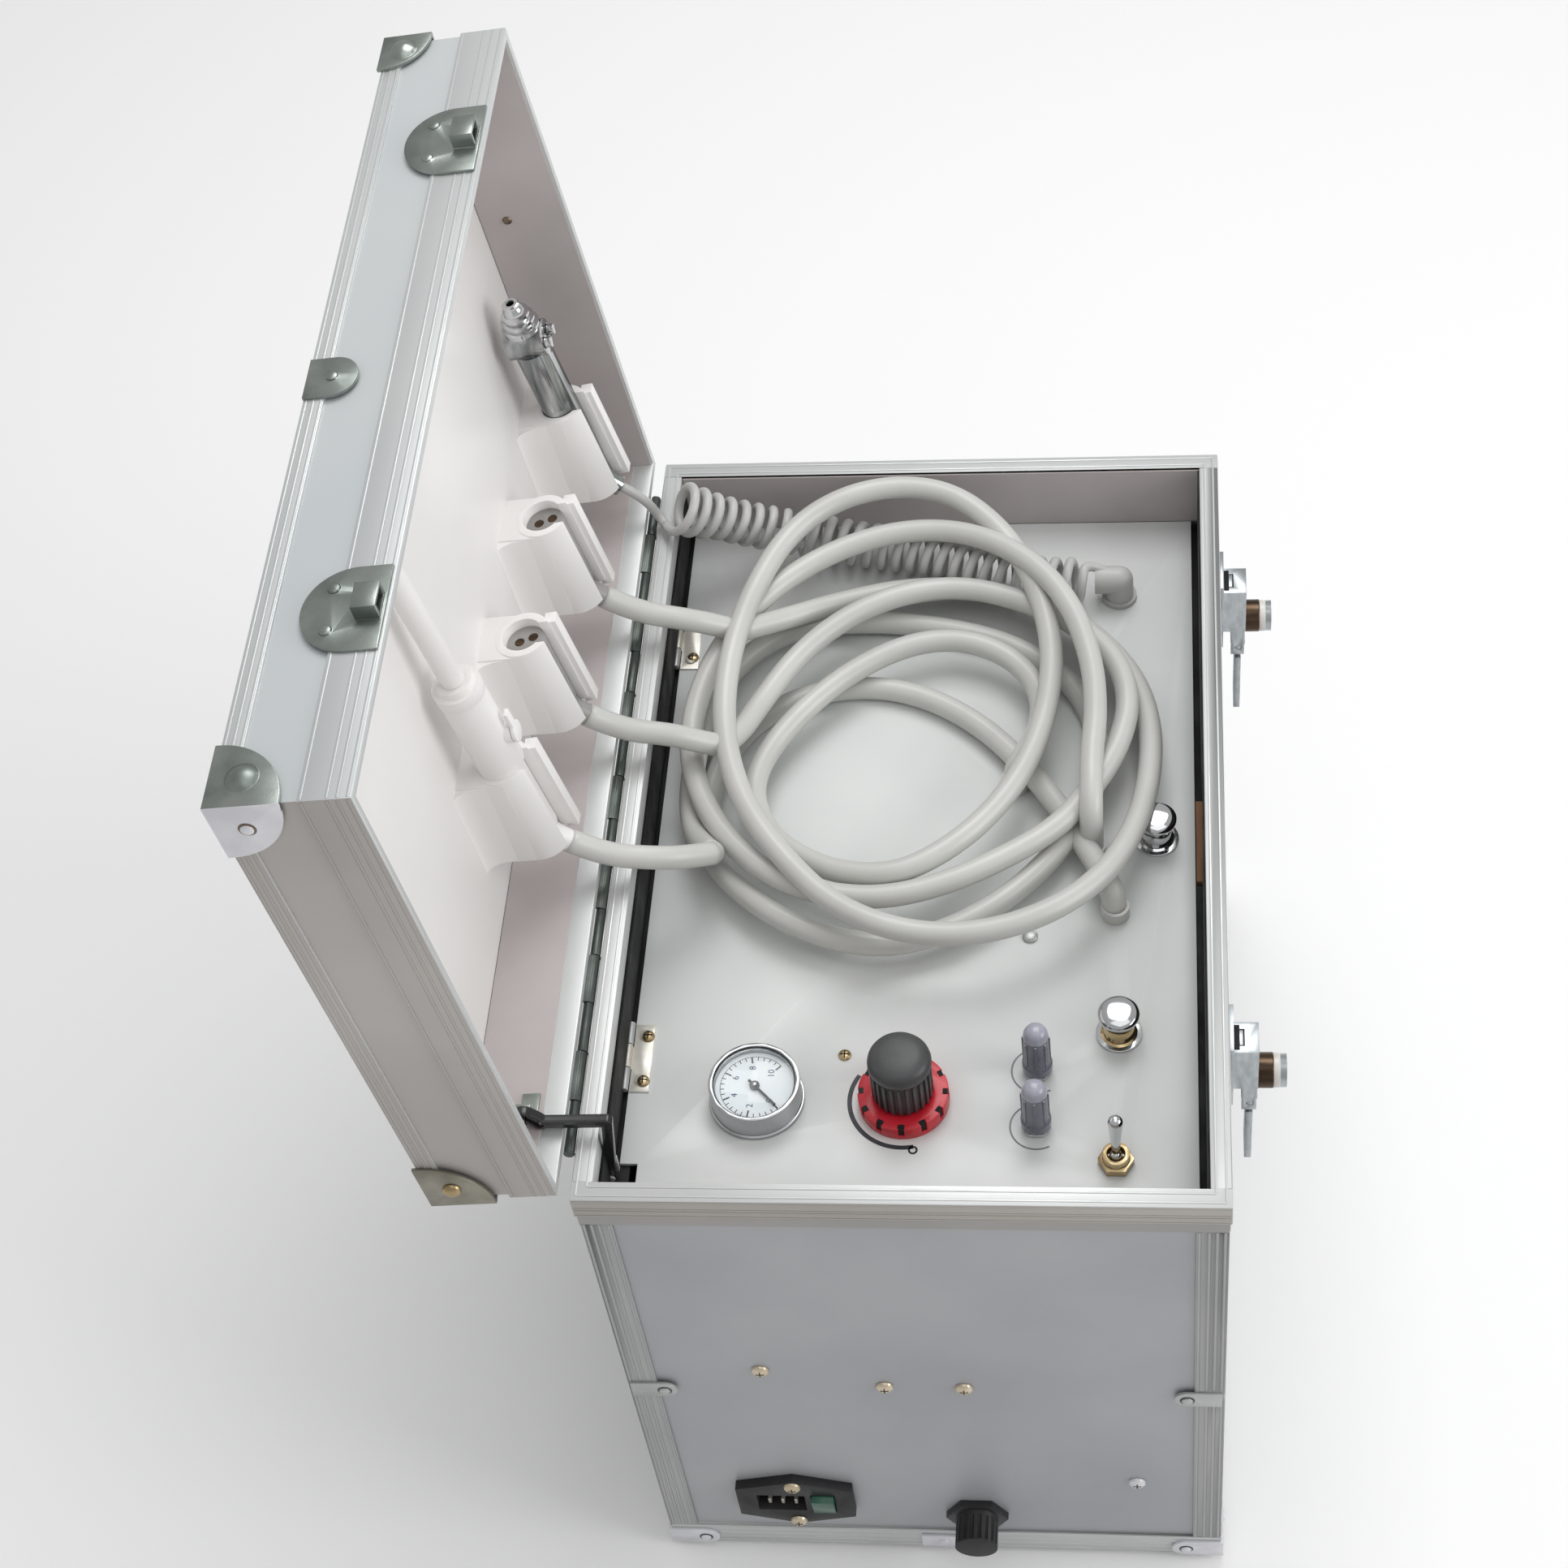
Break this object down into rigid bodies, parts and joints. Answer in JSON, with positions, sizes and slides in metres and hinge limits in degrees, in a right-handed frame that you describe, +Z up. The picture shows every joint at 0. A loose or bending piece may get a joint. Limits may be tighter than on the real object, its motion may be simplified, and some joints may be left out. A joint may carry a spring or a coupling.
{
  "type": "portable dental unit",
  "caption": "Portable dental unit in an aluminium flight case: hinged lid with instrument cradles, coiled hoses and a hinged control panel over a small compressor.",
  "frame": {"origin": "middle of the case's footprint, on the ground under the centre foot", "axes": "+Z up; +X from the lid hinge towards the latches; +Y from the connector face towards the far end"},
  "size_m": [0.3966, 0.4511, 0.6379],
  "materials": {
    "case_panel": "satin laminate",
    "extrusion": "satin anodised",
    "fitting_steel": "plated",
    "latch_metal": "plated",
    "foot_rubber": "matte",
    "ledge_wood": "raw",
    "black_plastic": "satin",
    "green_plastic": "translucent look",
    "black_metal": "satin",
    "chrome_parts": "polished",
    "bottle_plastic": "translucent look",
    "white_plastic": "satin",
    "grey_plastic": "satin",
    "panel_paint": "painted satin",
    "lens": "clear",
    "red_plastic": "satin",
    "valve_brass": "plain",
    "hose_grey": "satin"
  },
  "bodies": {
    "case": {"case_floor": "case_panel", "case_near_wall": "case_panel", "case_far_wall": "case_panel", "case_hinge_wall": "case_panel", "case_latch_wall": "case_panel", "case_frame": "extrusion", "case_fittings": "fitting_steel", "rubber_feet": "foot_rubber", "hinge_case_leaf": "fitting_steel", "hinge_pin": "fitting_steel", "latch_bases": "latch_metal", "panel_ledges": "ledge_wood", "case_brackets": "fitting_steel", "power_inlet": "black_plastic", "foot_control_socket": "black_plastic", "front_screws": "fitting_steel", "compressor": "black_metal", "water_bottles": "bottle_plastic", "valve_manifold": "extrusion"},
    "lid": {"lid_skin": "case_panel", "lid_frame": "extrusion", "lid_fittings": "fitting_steel", "latch_catches": "fitting_steel", "hinge_lid_leaf": "fitting_steel", "holder_board": "white_plastic", "instrument_holders": "white_plastic", "syringe_body": "chrome_parts", "hose_connectors": "grey_plastic", "suction_handle": "white_plastic", "suction_tip": "white_plastic", "handle_mounts": "extrusion"},
    "panel": {"control_panel": "panel_paint", "pressure_gauge": "chrome_parts", "gauge_lens": "lens", "regulator_ring": "red_plastic", "valve_bases": "valve_brass", "panel_hardware": "chrome_parts", "hose_coil": "hose_grey", "hose_run_1": "hose_grey", "hose_run_2": "hose_grey", "hose_run_3": "hose_grey", "curly_cord": "hose_grey", "curly_cord_lead": "hose_grey"},
    "stay_arm": {"lid_stay_arm": "black_metal"},
    "latch_lever_near": {"latch_lever_near": "latch_metal"},
    "latch_lever_far": {"latch_lever_far": "latch_metal"},
    "latch_bolt_near": {"latch_hook_near": "latch_metal"},
    "latch_bolt_far": {"latch_hook_far": "latch_metal"},
    "power_rocker": {"power_rocker": "green_plastic"},
    "carry_handle": {"carry_handle": "black_plastic"},
    "syringe_air_button": {"syringe_air_button": "chrome_parts"},
    "syringe_water_button": {"syringe_water_button": "chrome_parts"},
    "suction_valve": {"suction_valve": "grey_plastic"},
    "gauge_needle": {"gauge_needle": "black_plastic"},
    "regulator_knob": {"regulator_knob": "black_plastic"},
    "flow_knob_near": {"flow_knob_near": "grey_plastic"},
    "flow_knob_far": {"flow_knob_far": "grey_plastic"},
    "toggle_lever": {"toggle_lever": "chrome_parts"},
    "button_cap_near": {"button_cap_near": "chrome_parts"},
    "button_cap_far": {"button_cap_far": "chrome_parts"}
  },
  "joints": [
    {"name": "lid_hinge", "type": "hinge", "parent": "case", "child": "lid", "pos_m": [-0.143, 0, 0.3488], "axis": [0, 1, 0], "range_deg": [0, 96.14], "deforming": ["hose_coil", "hose_run_1", "hose_run_2", "hose_run_3", "curly_cord", "curly_cord_lead"]},
    {"name": "panel_hinge", "type": "hinge", "parent": "case", "child": "panel", "pos_m": [-0.1296, 0, 0.3139], "axis": [0, 1, 0], "range_deg": [-35, 0], "deforming": ["hose_coil", "hose_run_1", "hose_run_2", "hose_run_3", "curly_cord", "curly_cord_lead"]},
    {"name": "lid_stay_pivot", "type": "hinge", "parent": "case", "child": "stay_arm", "pos_m": [-0.13, -0.1835, 0.317], "axis": [0, 1, 0], "range_deg": [0, 34.2]},
    {"name": "latch_lever_near_pivot", "type": "hinge", "parent": "case", "child": "latch_lever_near", "pos_m": [0.1495, -0.1255, 0.299], "axis": [0, -1, 0], "range_deg": [0, 80]},
    {"name": "latch_bolt_near_slide", "type": "slide", "parent": "case", "child": "latch_bolt_near", "axis": [0, 0, 1], "range_m": [0, 0.016]},
    {"name": "latch_lever_far_pivot", "type": "hinge", "parent": "case", "child": "latch_lever_far", "pos_m": [0.1495, 0.1405, 0.299], "axis": [0, -1, 0], "range_deg": [0, 80]},
    {"name": "latch_bolt_far_slide", "type": "slide", "parent": "case", "child": "latch_bolt_far", "axis": [0, 0, 1], "range_m": [0, 0.016]},
    {"name": "power_rocker_tilt", "type": "hinge", "parent": "case", "child": "power_rocker", "pos_m": [-0.057, -0.2139, 0.059], "axis": [1, 0, 0], "range_deg": [-16, 0]},
    {"name": "carry_handle_fold", "type": "hinge", "parent": "lid", "child": "carry_handle", "pos_m": [-0.22123, 0, 0.49447], "axis": [0, 1, 0], "range_deg": [-6.14, 84]},
    {"name": "syringe_air_press", "type": "slide", "parent": "lid", "child": "syringe_air_button", "axis": [-0.9812, 0, -0.1932], "range_m": [0, 0.0025], "stiffness_N_per_m": 120},
    {"name": "syringe_water_press", "type": "slide", "parent": "lid", "child": "syringe_water_button", "axis": [-0.9812, 0, -0.1932], "range_m": [0, 0.0025], "stiffness_N_per_m": 120},
    {"name": "suction_valve_turn", "type": "hinge", "parent": "lid", "child": "suction_valve", "pos_m": [-0.16739, -0.0465, 0.45807], "axis": [0.9812, 0, 0.1932], "range_deg": [0, 90]},
    {"name": "gauge_needle_turn", "type": "hinge", "parent": "panel", "child": "gauge_needle", "pos_m": [-0.069, -0.1415, 0.323], "axis": [0, 0, -1], "range_deg": [0, 270]},
    {"name": "regulator_turn", "type": "hinge", "parent": "panel", "child": "regulator_knob", "pos_m": [-0.003, -0.1415, 0.33], "axis": [0, 0, 1], "range_deg": [0, 720]},
    {"name": "flow_near_turn", "type": "hinge", "parent": "panel", "child": "flow_knob_near", "pos_m": [0.056, -0.1545, 0.33], "axis": [0, 0, 1], "range_deg": [0, 270]},
    {"name": "flow_far_turn", "type": "hinge", "parent": "panel", "child": "flow_knob_far", "pos_m": [0.056, -0.1255, 0.33], "axis": [0, 0, 1], "range_deg": [0, 270]},
    {"name": "toggle_flip", "type": "hinge", "parent": "panel", "child": "toggle_lever", "pos_m": [0.091, -0.1725, 0.318], "axis": [1, 0, 0], "range_deg": [0, 28]},
    {"name": "button_near_press", "type": "slide", "parent": "panel", "child": "button_cap_near", "axis": [0, 0, -1], "range_m": [0, 0.003], "stiffness_N_per_m": 400},
    {"name": "button_far_press", "type": "slide", "parent": "panel", "child": "button_cap_far", "axis": [0, 0, -1], "range_m": [0, 0.003], "stiffness_N_per_m": 400}
  ],
  "couplings": [
    {"joint": "lid_stay_pivot", "follows": "lid_hinge", "ratio": 0.35365},
    {"joint": "latch_bolt_near_slide", "follows": "latch_lever_near_pivot", "m_per_rad": 0.0114},
    {"joint": "latch_bolt_far_slide", "follows": "latch_lever_far_pivot", "m_per_rad": 0.0114}
  ]
}
